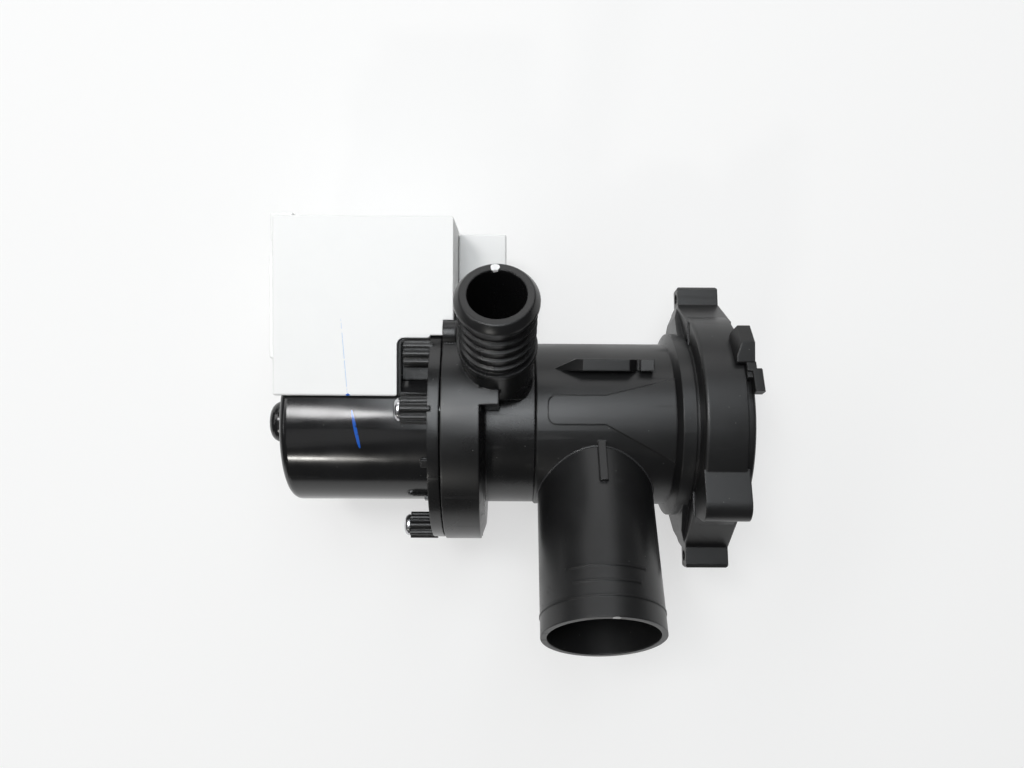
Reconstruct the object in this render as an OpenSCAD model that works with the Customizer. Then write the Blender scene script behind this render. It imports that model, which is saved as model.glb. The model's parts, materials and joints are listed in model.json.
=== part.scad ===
// Washer drain pump: sump inlet, lint filter, pump chamber and synchronous motor on one axis.
// The pump axis is X, with the filter mouth towards +X. Angles about it run from +Z towards +Y.

/* [Mounting flange] */
// Radius of the flange ring round the filter mouth
flange_r = 35.5; // [34.5:0.1:37]
// Length of the flange ring along the axis
flange_depth = 12.4; // [11.5:0.1:13]
// Length of the mounting lugs, from the flange's back to the front panel
lug_depth = 13.4; // [13:0.1:15]
// Diameter of the circle that the two lug holes lie on
lug_pcd = 85; // [82:0.5:92]
// Direction of the first lug, with the second one opposite
lug_angle = 102; // [96:1:106]
// Thickness of a lug's end
lug_w = 6; // [5.5:0.1:8]
// Radius of a lug hole
lug_hole_r = 1.7; // [1.5:0.1:1.9]
// Wall between a lug hole and the lug's end
lug_tip = 3.7; // [3:0.1:6]

/* [Filter tube] */
// Outer radius of the filter tube
tube_r = 26.2; // [25.6:0.1:26.6]
// Wall of the filter tube
tube_wall = 2.2; // [1.8:0.1:2.4]
// Length of the plain tube
tube_len = 42.1; // [42:0.1:48]
// Radius of the stepped shoulder behind the flange
shoulder_r = 29.6; // [29.2:0.1:30.4]
// Length of the shoulder's plain band
shoulder_len = 4.1; // [3.5:0.1:6]
// Length of the shoulder's ramp
shoulder_ramp = 1.4; // [0.8:0.1:2]
// Wall of the shoulder round the cap's plug
seat_wall = 2.4; // [2.2:0.1:2.6]
// Wall of the flange ring round the mouth
mouth_wall = 4.5; // [4:0.1:5]
// Depth of the mouth, from the flange's front
mouth_depth = 8; // [7.8:0.1:8.6]
// Height of the raised tongue on the tube
tongue_h = 0.8; // [0.5:0.1:1.2]
// Width of the tongue's narrow end
tongue_w = 8.6; // [6:0.1:10]
// Height of the wire hook's bar above the tube beside it
hook_h = 3.6; // [3:0.1:5]

/* [Sump inlet] */
// Direction of the sump inlet
inlet_angle = -53; // [-58:1:-48]
// Distance of the inlet's mouth from the pump axis
inlet_reach = 70.7; // [66:0.1:80]
// Outer radius of the inlet spigot
inlet_r = 17.85; // [16.5:0.05:18.5]
// Wall of the inlet spigot
inlet_wall = 1.75; // [1.4:0.05:2.5]
// How far the inlet's axis lies in front of the tube's middle
inlet_shift = -2.05; // [-2.5:0.05:2.5]

/* [Pump chamber] */
// Outer radius of the chamber's skirt
volute_r = 37.4; // [37:0.1:39]
// Depth of the chamber along the axis
volute_depth = 12.7; // [12.4:0.1:14]
// Wall of the chamber's front and skirt
volute_wall = 2.2; // [1.8:0.1:2.4]
// Inner radius of the round pumping chamber
chamber_r = 28.5; // [28:0.1:29]
// Outer radius of the neck
neck_r = 25.6; // [25.2:0.1:26]
// Length of the neck between chamber and filter tube
neck_len = 14.9; // [13:0.1:18]
// Bore radius of the neck
neck_bore_r = 21; // [20:0.1:21.2]
// Length of the spigot that enters the filter tube
spigot_len = 6; // [5.5:0.1:7]

/* [Outlet] */
// Direction of the outlet
outlet_angle = 33; // [31:1:36]
// Distance of the outlet's mouth from the pump axis
outlet_reach = 67.5; // [66:0.1:76]
// Sideways offset of the outlet's axis from the pump axis
outlet_shift = 1.7; // [0.5:0.1:2.5]
// Distance of the outlet's axis in front of the chamber
outlet_ahead = 3.6; // [2.5:0.1:4.5]
// Bore radius of the outlet
outlet_bore_r = 7.9; // [7:0.1:8.2]
// Radius of the outlet's pipe between ribs
outlet_r = 10; // [9.8:0.05:10.4]
// Radius of the hose barb at the mouth
barb_r = 11.5; // [11.2:0.05:12]
// Radius of the four hose ribs
rib_r = 10.95; // [10.7:0.05:11.2]
// Distance from rib to rib
rib_pitch = 4; // [3.6:0.1:4.4]

/* [Motor] */
// Thickness of the motor flange
motor_flange_t = 3.5; // [3:0.1:5]
// Radius of the screw circle
screw_circle_r = 33.2; // [33:0.05:33.4]
// Direction of the first flange screw
screw_angle = 11; // [9:1:13]
// Length of the screw bosses
boss_len = 7.8; // [6:0.1:10]
// Outer radius of the screw bosses
boss_r = 4.2; // [3.8:0.1:4.6]
// Radius of the motor casing
casing_r = 25; // [24.6:0.1:25.4]
// Wall of the motor casing
casing_wall = 2; // [1.6:0.1:2.2]
// Length of the motor casing
casing_len = 45.6; // [45:0.1:52]
// Radius of the rear bearing boss
rear_boss_r = 6.7; // [6.5:0.1:7.5]
// Length of the rear bearing boss
rear_boss_len = 8.4; // [8.2:0.1:10]

/* [Coil block] */
// Length of the white coil cover along the axis
cover_len = 53.7; // [52.5:0.1:58]
// Near side of the cover, from the pump axis
cover_y0 = 9.9; // [8:0.1:12]
// Far side of the cover, from the pump axis
cover_y1 = 63.4; // [63:0.1:70]
// Half the height of the cover
cover_h = 25; // [24.8:0.1:28]
// Wall of the cover
cover_wall = 1.6; // [1.2:0.1:1.8]
// How far the cover reaches past the casing's rear end
cover_behind = 1.4; // [0.5:0.1:3]
// Length of the connector housing
plug_len = 15.7; // [13:0.1:18]
// Width of the connector housing
plug_w = 22; // [20:0.5:23]
// Height of the connector housing
plug_h = 20; // [14:0.5:24]

/* [Rotor and impeller] */
// Radius of the rotor shaft
shaft_r = 2; // [1.8:0.05:2.2]
// Outer radius of the rotor magnet
magnet_r = 13.2; // [12.6:0.1:13.4]
// Length of the rotor magnet
magnet_len = 26; // [22:0.5:32]
// Outer radius of the rotor can
can_r = 15; // [14.8:0.1:15.2]
// Wall of the rotor can
can_wall = 0.9; // [0.7:0.05:1]
// Outer radius of the impeller
impeller_r = 23; // [20:0.1:25]
// Number of impeller vanes
vane_count = 6; // [4:1:8]
// Height of the impeller vanes
vane_h = 5; // [4:0.1:5.2]
// Outer radius of the impeller hub
hub_r = 9; // [8.6:0.1:10]

/* [Stator] */
// Thickness of the lamination stack along the axis
core_t = 20; // [16:0.5:20.5]
// Height of one leg of the core
leg_h = 8; // [7:0.1:9]
// Height of a leg's middle above the axis
leg_z = 12; // [11.8:0.1:12.2]
// Thickness of the yoke
yoke_t = 9; // [7:0.1:10]
// Winding build round a bobbin
winding_t = 5; // [3:0.1:5.2]

/* [Filter] */
// Radius of the filter cap's rim
cap_rim_r = 32.5; // [32:0.1:33.4]
// Thickness of the filter cap's rim
cap_rim_t = 2.8; // [2:0.1:4]
// Radius of the recess in the cap's front
cap_recess_r = 21.5; // [19:0.1:22]
// Thickness of the cap's grip bar
grip_t = 5; // [4:0.1:8]
// Thickness of the bayonet lugs and ledges
bayonet_t = 3.2; // [2.6:0.1:3.2]
// Angle that one bayonet lug spans
bayonet_span = 48; // [40:1:50]
// Number of bars round the filter basket
basket_bars = 12; // [8:1:16]

/* [Clearances] */
// Gap between fixed pieces that seat in each other
fit_gap = 0.1; // [0.05:0.01:0.15]
// Radial gap of a shaft in its bearing
run_gap = 0.04; // [0.02:0.01:0.08]
// Gap between pieces that move past each other
move_gap = 0.4; // [0.3:0.05:0.5]
// Visible seam between the motor flange and the chamber
seam_gap = 0.3; // [0.1:0.05:0.5]

/* [Hidden] */
$fn = 64;

charcoal = [0.17, 0.17, 0.18];
gloss_black = [0.09, 0.09, 0.1];
deep_black = [0.05, 0.05, 0.05];
white_plastic = [0.93, 0.93, 0.91];
natural_plastic = [0.8, 0.78, 0.7];
steel = [0.72, 0.73, 0.75];
lamination = [0.45, 0.46, 0.48];
carbon_bush = [0.35, 0.33, 0.3];
copper = [0.72, 0.42, 0.22];
rubber_black = [0.08, 0.08, 0.08];

// Small allowances: edge breaks, and the overshoot of a cut past the face that it opens
edge = 1;
fine_edge = 0.5;
cut = 1;

// Stations along the axis, from the lugs' front plane back to the motor's end
groove_w = 1;
groove_depth = 0.8;
x_flange_back = -lug_depth;
x_flange_front = x_flange_back + flange_depth;
x_shoulder_front = x_flange_back - groove_w;
x_shoulder_back = x_shoulder_front - shoulder_len;
x_tube_front = x_shoulder_back - shoulder_ramp;
x_tube_back = x_tube_front - tube_len;
x_inlet = (x_tube_front + x_tube_back) / 2 + inlet_shift;
x_volute_front = x_tube_back - neck_len;
x_volute_back = x_volute_front - volute_depth;
x_outlet = x_volute_front + outlet_ahead;
x_motor_front = x_volute_back - seam_gap;
x_motor_back = x_motor_front - motor_flange_t;
x_boss_end = x_motor_back - boss_len;
x_casing_back = x_motor_back - casing_len;
x_rear_boss = x_casing_back - rear_boss_len;

// Bores and seats of the filter housing
bore_r = tube_r - tube_wall;
seat_r = shoulder_r - seat_wall;
mouth_r = flange_r - mouth_wall;
seat_step = 0.6;
x_seat = x_shoulder_back + seat_step;
x_mouth = x_flange_front - mouth_depth;
spigot_r = bore_r - fit_gap;
x_spigot = x_tube_back + spigot_len;
inlet_bore_r = inlet_r - inlet_wall;
lug_r = lug_pcd / 2;
lug_angles = [lug_angle, lug_angle - 180];
gusset_angle = 30;
lug_root = bore_r - tube_wall;
lug_waist = lug_r - lug_hole_r - edge;
web_neck = lug_r - 7.8;
web_step = 1.9;
x_web = x_shoulder_back + 2.6;

// Chamber walls and the screws that hold the motor flange on them
skirt_in_r = volute_r - volute_wall;
chamber_ring_r = chamber_r + volute_wall;
x_chamber_front = x_volute_front - volute_wall;
pilot_r = 1.5;
pilot_wall = 1.9;
screw_r = pilot_r - fit_gap / 2;
screw_hole_r = pilot_r + 3 * fit_gap;
screw_angles = [for (i = [0:3]) screw_angle + 90 * i];
screw_head_r = 3.4;
screw_head_h = 1.9;
screw_tip = 2;
x_screw_tip = x_chamber_front - screw_tip;
locating_angle = 43;

// Seals
seal_wire_r = 0.8;
seal_groove_w = 2 * seal_wire_r + 0.3;
groove_floor = 1.5;
spigot_bore_r = spigot_r - 2 * seal_wire_r - groove_floor;
x_neck_seal = x_spigot - 2.6;
register_len = 3;
register_wall = 2.6;
register_r = chamber_r - fit_gap;
x_register = x_volute_back + register_len;
x_chamber_seal = x_register - 1.5;

// Discharge duct from the chamber to the outlet
duct_angles = [22, 52];
duct_wall = 4;
duct_in_r = neck_r + volute_wall;
duct_out_r = skirt_in_r - 0.6;
duct_block_r = volute_r - fine_edge;
duct_block_len = 3.6;
duct_block_angles = [13, 62];
x_step = x_volute_front + duct_block_len + fine_edge;
step_r = volute_r + 0.05;
step_angles = [12.8, 20.4];
step_y = step_r * sin(step_angles[1]) - fine_edge;
step_floor = neck_r + 8.4;
root_y = 9.2;
rim_run = 1.6;
rim_drop = 2 * volute_wall;
ear_angle = 50;
ear_r = 4.2;
ear_circle_r = volute_r - 0.2;
ear_len = 4;

// Outlet stations along its own axis
lip_r = outlet_r;
lip_len = 2.2;
barb_land = 1.5;
barb_z = outlet_reach - lip_len;
rib_z0 = outlet_reach - 8;
rib_count = 4;
rib_ramp = 1.4;
rib_land = 0.3;
collar_r = rib_r + 0.5;
collar_z = outlet_reach - 24.5;
collar_t = 1.6;
pipe_r = outlet_r + 0.6;
outlet_root = duct_in_r + 1;

// Rotor can and bearings
can_in_r = can_r - can_wall;
can_end_t = 1.2;
can_flange_r = can_r + 4;
can_flange_t = 1.4;
x_can_back = x_casing_back + casing_wall + fit_gap;
bearing_r = 2 * shaft_r;
bearing_seat_r = bearing_r + fit_gap / 2;
bearing_len = 6;
tail_r = bearing_r + 1.1;
tail_end_t = 0.6;
boss_bore_r = tail_r + fit_gap;
boss_end_t = 1.6;
x_tail = x_rear_boss + boss_end_t;
x_rear_bearing = x_tail + tail_end_t + fit_gap;
plate_t = 4;
x_plate_front = x_motor_front;
x_plate_back = x_plate_front - plate_t;
plate_r = can_in_r - fit_gap / 2;
plate_collar_len = 2.4;
plate_collar_wall = 2.2;
x_seal_front = x_plate_front + plate_collar_len;
seal_r = bearing_r + 0.3;
seal_seat_r = seal_r + fit_gap / 2;

// Rotor
sleeve_gap = fit_gap / 4;
x_shaft_back = x_rear_bearing + move_gap;
carrier_collar_t = 1.2;
carrier_collar_h = 2;
magnet_bore_r = 2.5 * shaft_r;
x_magnet_back = x_can_back + can_end_t + 2 * move_gap + carrier_collar_t;
x_magnet_front = x_magnet_back + magnet_len;

// Impeller stations
hub_wall = 2;
hub_cavity_r = hub_r - hub_wall;
hub_cap_t = 0.9;
x_hub_back = x_seal_front + 1.5 * move_gap;
x_vane_front = x_chamber_front - 0.7;
x_shroud_front = x_vane_front - vane_h;
shroud_t = 1.5;
vane_t = 2;
x_hub_front = x_vane_front + 0.2;
nose_t = 2.6;
x_cavity_front = x_hub_front - nose_t;
x_shaft_front = x_hub_front - 0.8;
dog_sleeve_r = shaft_r + 1;
dog_span = 84;
x_dog_back = x_hub_back + hub_cap_t + move_gap;
x_dog_front = x_cavity_front - move_gap;

// Coil block stations
x_cover_back = x_casing_back - cover_behind;
x_cover_front = x_cover_back + cover_len;
x_pocket = x_boss_end - screw_head_h - seam_gap;
pocket_y = screw_circle_r * sin(locating_angle) + boss_r + fine_edge;
pocket_wall = 1.1;
pocket_round = 2.2;
pocket_floor = cover_h - 4.4;
pocket_foot = cover_h - 7;
pocket_top = cover_h - 1;
overhang_t = 5;
y_clear = volute_r + 1;
base_t = cover_wall;
lip_out = 4;
x_plug_front = x_cover_front + plug_len;
plug_y0 = volute_r + 2.4;
plug_wall = 1.5;
plug_floor = 2;
plug_top = 0;
blade_t = 0.8;
blade_h = 6.3;
blade_in = 4;
blade_short = 5.5;

// Stator stations, centred in the coil bay
x_core = (x_cover_back + x_pocket) / 2;
core_y1 = cover_y1 - cover_wall - 2;
bobbin_y0 = casing_r + 3.5;
bobbin_y1 = core_y1 - yoke_t - fit_gap;
bobbin_wall = 0.9;
bobbin_flange_t = 1;
winding_slack = 0.4;
pole_r = casing_r - casing_wall - 2 * fit_gap;
pole_gap = 9;
window_z = 21;
window_y = 12;
window_slack = 2;

// Filter parts
plug_r = seat_r - move_gap;
x_cap_back = x_seat + 0.5;
x_rim_back = x_flange_front + seam_gap;
x_rim_front = x_rim_back + cap_rim_t;
cap_floor = 4.6;
x_cap_floor = x_cap_back + cap_floor;
ring_wire_r = 1.15;
ring_mid_r = seat_r - fit_gap - ring_wire_r;
x_ring = x_cap_back + 2.6;
bayonet_count = 3;
bayonet_pitch = 360 / bayonet_count;
ledge_r = mouth_r - 2;
x_ledge = x_flange_front - bayonet_t;
x_lug = x_ledge - move_gap;
lug_ring_r = mouth_r - move_gap;
ledge_start = 30;
lug_start = ledge_start + bayonet_pitch / 2;
stub_r = 5;
snap_r = stub_r + 0.8;
snap_t = 1.2;
basket_r = bore_r - move_gap;
basket_plate_t = 2.4;
x_basket_front = x_cap_back - move_gap;
x_plate = x_basket_front - basket_plate_t;
x_snap = x_plate - move_gap;
x_basket_back = x_spigot + cut;
basket_bar = 2.2;
basket_rim = 2.6;
basket_window = 96;
grid_pitch = 6;
key_w = 3;
key_h = 1.2;
key_angle = inlet_angle + 180;

// Turns a profile of [x, r] points about the pump axis.
module revolve(points, from = 0, sweep = 360) {
    rotate([0, -90, 0])
        rotate([0, 0, from])
            rotate_extrude(angle = sweep)
                polygon([for (p = points) [p[1], -p[0]]]);
}

// A round bar or ring along the pump axis.
module ring(x0, x1, r0, r1) {
    revolve([[x0, r0], [x1, r0], [x1, r1], [x0, r1]]);
}

// A sector of a ring, between two angles.
module sector(x0, x1, r0, r1, a0, a1) {
    revolve([[x0, r0], [x1, r0], [x1, r1], [x0, r1]], a0, a1 - a0);
}

// Turns +Z to point away from the pump axis at an angle.
module aim(angle) {
    rotate([-angle, 0, 0])
        children();
}

// Extrudes an outline drawn in Y and Z along the pump axis.
module along_axis(x0, x1) {
    translate([x0, 0, 0])
        rotate([90, 0, 90])
            linear_extrude(x1 - x0)
                children();
}

// Extrudes an outline drawn in X and Z across the pump axis.
module across(y0, y1) {
    translate([0, y1, 0])
        rotate([90, 0, 0])
            linear_extrude(y1 - y0)
                children();
}

// A box from its lowest and highest corners.
module block(low, high) {
    translate(low)
        cube(high - low);
}

// A bar parallel to the pump axis, at a radius and an angle.
module axial_pin(x0, x1, radius, angle, r) {
    aim(angle)
        translate([x0, 0, radius])
            rotate([0, 90, 0])
                cylinder(r = r, h = x1 - x0);
}

// Points of a quarter round from [x0, r1 - size] out to [x0 + size, r1], for a profile's corner.
function corner(x0, r1, size, steps = 5) =
    [for (i = [0:steps]) [x0 + size * (1 - cos(90 * i / steps)), r1 - size + size * sin(90 * i / steps)]];

// One O-ring round the pump axis.
module o_ring(x, r, wire) {
    translate([x, 0, 0])
        rotate([0, -90, 0])
            rotate_extrude()
                translate([r, 0])
                    circle(r = wire, $fn = 32);
}

// Outline of one mounting lug along the axis: gussets off the flange ring and an end with cut corners.
module lug_outline() {
    foot = (flange_r - fine_edge) * [sin(gusset_angle), cos(gusset_angle)];
    tip = lug_r + lug_tip;
    half = lug_w / 2;
    polygon([[-foot[0], lug_root], [-foot[0], foot[1]], [-half, lug_waist], [-half, tip - edge],
        [-half + edge, tip], [half - edge, tip], [half, tip - edge], [half, lug_waist], [foot[0], foot[1]],
        [foot[0], lug_root]]);
}

// Outline of one lug's web along the axis: gussets off the shoulder, inside the lug's own outline.
module web_outline() {
    foot = (shoulder_r - edge) * [sin(gusset_angle), cos(gusset_angle)];
    half = lug_w / 2 - fine_edge;
    top = lug_waist - fine_edge;
    polygon([[-foot[0], lug_root], [-foot[0], foot[1]], [-half, top], [half, top], [foot[0], foot[1]],
        [foot[0], lug_root]]);
}

// Outline of one mounting lug and its web from the side: the web runs back onto the shoulder.
module lug_side() {
    tip = lug_r + lug_tip;
    polygon([[x_web, lug_root], [x_web, shoulder_r - edge], [x_flange_back - web_step, web_neck],
        [x_flange_back, lug_waist], [x_flange_back, tip - fine_edge], [x_flange_back + fine_edge, tip],
        [-fine_edge, tip], [0, tip - fine_edge], [0, lug_root]]);
}

// The two mounting lugs with their webs.
module lugs() {
    for (a = lug_angles)
        aim(a)
            intersection() {
                union() {
                    along_axis(x_flange_back - fine_edge, cut)
                        lug_outline();
                    along_axis(x_web - cut, x_flange_back + edge)
                        web_outline();
                }
                across(-flange_r, flange_r)
                    lug_side();
            }
}

// Outline of the rest block on the flange's upper side: a rising flat and a rounded outer corner.
module rest_block_outline() {
    round_r = 5;
    start_angle = -17;
    middle_angle = -33;
    reach = flange_r + 2.5;
    floor_z = flange_r - 15.5;
    start = (flange_r - fine_edge) * [sin(start_angle), cos(start_angle)];
    middle = reach * [sin(middle_angle), cos(middle_angle)];
    translate(middle)
        circle(r = round_r);
    polygon([start, middle + round_r * [-sin(start_angle), cos(start_angle)], middle + [-round_r, 0],
        [middle[0] - round_r, floor_z], [start[0], floor_z]]);
}

// Outline of the raised tongue seen from above: a round nose that flares towards the flange.
module tongue_outline() {
    middle = 6.2;
    half = tongue_w / 2;
    nose = 2.5;
    flare_len = 21;
    flare_near = 15.7;
    flare_far = 9.3;
    x0 = x_tube_back + 3.8;
    x_flare = x_tube_front - flare_len;
    for (side = [-1, 1])
        translate([x0 + nose, middle + side * (half - nose)])
            circle(r = nose);
    polygon([[x0, middle - half + nose], [x0 + nose, middle - half], [x_flare, middle - half],
        [x_tube_front, middle - flare_near], [x_tube_front, middle + flare_far], [x_flare, middle + half],
        [x0 + nose, middle + half], [x0, middle + half - nose]]);
}

// The wire hook on the tube: a ramp, a raised bar, a drop and a small end block, seen from the side.
module wire_hook() {
    y_near = 17.8;
    bar_w = 3.5;
    x0 = x_tube_back + 6;
    x_bar = x0 + 8.4;
    x_drop = x_bar + 14;
    x_slit = x_drop + 2.6;
    x_end = x_slit + 0.8;
    x1 = x_end + 4.2;
    top = sqrt(pow(tube_r, 2) - pow(y_near, 2)) + hook_h;
    low = top - 2.4 * hook_h;
    foot = top - hook_h - fine_edge;
    slit_z = top - 3;
    end_z = top - 1;
    intersection() {
        across(y_near, y_near + bar_w)
            polygon([[x0, low], [x0, foot], [x_bar, top], [x_drop, top], [x_slit, slit_z],
                [x_end, slit_z], [x_end, end_z], [x1, end_z + fine_edge], [x1, low]]);
        linear_extrude(top + cut)
            polygon([[x0, y_near - cut], [x0, y_near + fine_edge], [x_bar, y_near + bar_w + cut],
                [x1 + cut, y_near + bar_w + cut], [x1 + cut, y_near - cut]]);
    }
}

// The inlet spigot as a plain round with a ridge near its mouth and two short ones on its upper side.
module inlet_body() {
    ridge_h = 0.2;
    ridge_w = 0.5;
    ridge_back = 6.2;
    ridge_pitch = 4.25;
    ridge_spans = [360, 63, 77];
    translate([x_inlet, 0, 0])
        aim(inlet_angle) {
            cylinder(r = inlet_r, h = inlet_reach, $fn = 96);
            for (i = [0:2])
                rotate([0, 0, 90 - ridge_spans[i] / 2])
                    rotate_extrude(angle = ridge_spans[i])
                        translate([inlet_r - inlet_wall / 2, inlet_reach - ridge_back - i * ridge_pitch])
                            square([inlet_wall / 2 + ridge_h, ridge_w]);
        }
}

// A stiffening rib where the inlet leaves the tube.
module inlet_rib() {
    rib_w = 2.4;
    rib_h = 1.2;
    rib_from = 16.5;
    rib_to = 31;
    translate([x_inlet + 0.8, 0, 0])
        aim(inlet_angle)
            block([-rib_w / 2, inlet_r - inlet_wall, rib_from], [rib_w / 2, inlet_r + rib_h, rib_to]);
}

// Outside of the filter tube, the shoulder and the flange ring.
module housing_body() {
    groove_r = shoulder_r - groove_depth;
    revolve(concat([[x_tube_back, 0], [x_tube_back, tube_r - fine_edge], [x_tube_back + fine_edge, tube_r],
        [x_tube_front, tube_r], [x_shoulder_back, shoulder_r], [x_shoulder_front, shoulder_r],
        [x_shoulder_front, groove_r], [x_flange_back, groove_r]],
        corner(x_flange_back, flange_r, edge),
        [[x_flange_front, flange_r], [x_flange_front, 0]]));
}

// Bores of the filter housing: tube, plug seat, mouth and the room for the cap's rim between the lugs.
module housing_bores() {
    rim_clear_r = cap_rim_r + move_gap;
    revolve([[x_tube_back - cut, 0], [x_tube_back - cut, bore_r], [x_seat, bore_r], [x_seat, seat_r],
        [x_mouth, seat_r], [x_mouth, mouth_r], [x_flange_front, mouth_r], [x_flange_front, rim_clear_r],
        [cut, rim_clear_r], [cut, 0]]);
    translate([x_inlet, 0, 0])
        aim(inlet_angle)
            cylinder(r = inlet_bore_r, h = inlet_reach + cut, $fn = 96);
    for (a = lug_angles)
        axial_pin(x_shoulder_back, cut, lug_r, a, lug_hole_r);
}

// Filter tube, stepped shoulder, flange ring, sump inlet and mounting lugs, moulded in one piece.
module filter_housing() {
    color(charcoal) {
        difference() {
            union() {
                housing_body();
                intersection() {
                    ring(x_tube_back, x_tube_front, 1, tube_r + tongue_h);
                    linear_extrude(tube_r + 2 * tongue_h)
                        tongue_outline();
                }
                wire_hook();
                inlet_body();
                inlet_rib();
                lugs();
                along_axis(x_flange_back, 0)
                    rest_block_outline();
            }
            housing_bores();
        }
        for (i = [0:bayonet_count - 1]) {
            from = ledge_start + bayonet_pitch * i;
            sector(x_ledge, x_flange_front, ledge_r, mouth_r + mouth_wall / 2, from, from + bayonet_span);
        }
        aim(key_angle)
            block([x_spigot + cut, -key_w / 2, bore_r - key_h],
                [x_seat - cut, key_w / 2, bore_r + tube_wall / 2]);
    }
}

// The outlet pipe with its lip, hose barb, ribs and root collar, along +Z.
module outlet_pipe() {
    barb_ramp = 0.6;
    ribs = [for (i = [rib_count - 1:-1:0]) rib_z0 - i * rib_pitch];
    root = [[0, neck_bore_r + cut], [pipe_r, neck_bore_r + cut], [pipe_r, collar_z], [collar_r, collar_z],
        [collar_r, collar_z + collar_t], [outlet_r, collar_z + collar_t]];
    rib_points = [for (z = ribs) each [[outlet_r, z - rib_ramp], [rib_r, z - rib_land], [rib_r, z],
        [outlet_r, z + rib_land]]];
    mouth = [[outlet_r, barb_z - barb_land - barb_ramp], [barb_r, barb_z - barb_land], [barb_r, barb_z],
        [lip_r, outlet_reach], [0, outlet_reach]];
    rotate_extrude($fn = 96)
        polygon(concat(root, rib_points, mouth));
}

// Places its children along the outlet's axis.
module at_outlet() {
    translate([x_outlet, 0, 0])
        aim(outlet_angle)
            translate([0, outlet_shift, 0])
                children();
}

// The outlet pipe with its root trimmed back to the step beside it.
module trimmed_outlet() {
    difference() {
        at_outlet()
            outlet_pipe();
        block([x_volute_back, 0, step_floor], [x_step + fine_edge, step_y, outlet_reach]);
        block([x_step - cut, -pipe_r, 0], [x_outlet + pipe_r + cut, root_y, outlet_reach]);
    }
}

// Chamber, neck and spigot turned in one profile, with the hollow between chamber ring and skirt.
module chamber_shell() {
    difference() {
        revolve([[x_volute_back, 0], [x_volute_back, volute_r], [x_volute_front - rim_run, volute_r],
            [x_volute_front, volute_r - rim_drop], [x_volute_front, neck_r], [x_tube_back, neck_r],
            [x_tube_back, spigot_r], [x_spigot, spigot_r], [x_spigot, 0]]);
        ring(x_volute_back - cut, x_chamber_front, chamber_ring_r, skirt_in_r);
    }
}

// Pump chamber, neck, discharge duct and outlet pipe, moulded in one piece.
module volute_housing() {
    boss_x1 = x_chamber_front + volute_wall / 2;
    color(charcoal)
        difference() {
            union() {
                chamber_shell();
                for (a = screw_angles)
                    axial_pin(x_volute_back, boss_x1, screw_circle_r, a, pilot_r + pilot_wall);
                sector(x_volute_back + edge, boss_x1, chamber_ring_r - cut, skirt_in_r + cut,
                    duct_angles[0] - duct_wall, duct_angles[1] + duct_wall);
                sector(x_volute_front - 2 * cut, x_volute_front + duct_block_len, neck_r - cut, duct_block_r,
                    duct_block_angles[0], duct_block_angles[1]);
                axial_pin(x_volute_back, x_volute_back + ear_len, ear_circle_r, ear_angle, ear_r);
                sector(x_volute_front - 3 * cut, x_step, neck_r, step_r, step_angles[0], step_angles[1]);
                trimmed_outlet();
            }
            ring(x_volute_back - cut, x_chamber_front, 0, chamber_r);
            ring(x_chamber_front - cut, x_tube_back - volute_wall, 0, neck_bore_r);
            ring(x_tube_back - 2 * volute_wall, x_spigot + cut, 0, spigot_bore_r);
            sector(x_register + cut, x_volute_front + duct_block_len - volute_wall, duct_in_r, duct_out_r,
                duct_angles[0], duct_angles[1]);
            at_outlet()
                translate([0, 0, outlet_root])
                    cylinder(r = outlet_bore_r, h = outlet_reach, $fn = 96);
            for (a = screw_angles)
                axial_pin(x_volute_back - cut, x_screw_tip + screw_tip / 2, screw_circle_r, a, pilot_r);
            ring(x_neck_seal - seal_groove_w / 2, x_neck_seal + seal_groove_w / 2,
                spigot_r - 2 * seal_wire_r, spigot_r + cut);
        }
}

// Seal between the neck's spigot and the filter tube.
module neck_seal() {
    color(rubber_black)
        o_ring(x_neck_seal, spigot_r - seal_wire_r, seal_wire_r - fit_gap / 2);
}

// One fluted boss on the back of the motor flange.
module fluted_boss(angle) {
    flute_count = 8;
    flute_r = 0.9;
    axial_pin(x_boss_end, x_motor_back + cut, screw_circle_r, angle, boss_r - flute_r);
    aim(angle)
        translate([x_boss_end, 0, screw_circle_r])
            for (i = [0:flute_count - 1])
                rotate([360 * i / flute_count, 0, 0])
                    translate([0, 0, boss_r - flute_r])
                        rotate([0, 90, 0])
                            cylinder(r = flute_r, h = boss_len + cut, $fn = 16);
}

// Outline of the wiring pocket seen from above, set in from the notch's edge, with its outer corner rounded.
module pocket_outline(inset, y0, x1) {
    x0 = x_pocket + inset;
    y1 = pocket_y - inset;
    round_r = pocket_round - inset;
    translate([x0 + round_r, y1 - round_r])
        circle(r = round_r);
    translate([x0, y0])
        square([x1 - x0, y1 - round_r - y0]);
    translate([x0 + round_r, y0])
        square([x1 - x0 - round_r, y1 - y0]);
}

// Shallow tray on the motor flange that lies in the coil cover's notch.
module wiring_pocket() {
    difference() {
        translate([0, 0, pocket_foot])
            linear_extrude(pocket_top - pocket_foot)
                pocket_outline(fit_gap, cover_y0 + fit_gap, x_motor_back + cut);
        translate([0, 0, pocket_floor])
            linear_extrude(pocket_top)
                pocket_outline(fit_gap + pocket_wall, cover_y0 + fit_gap + pocket_wall, x_motor_back);
    }
}

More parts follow.
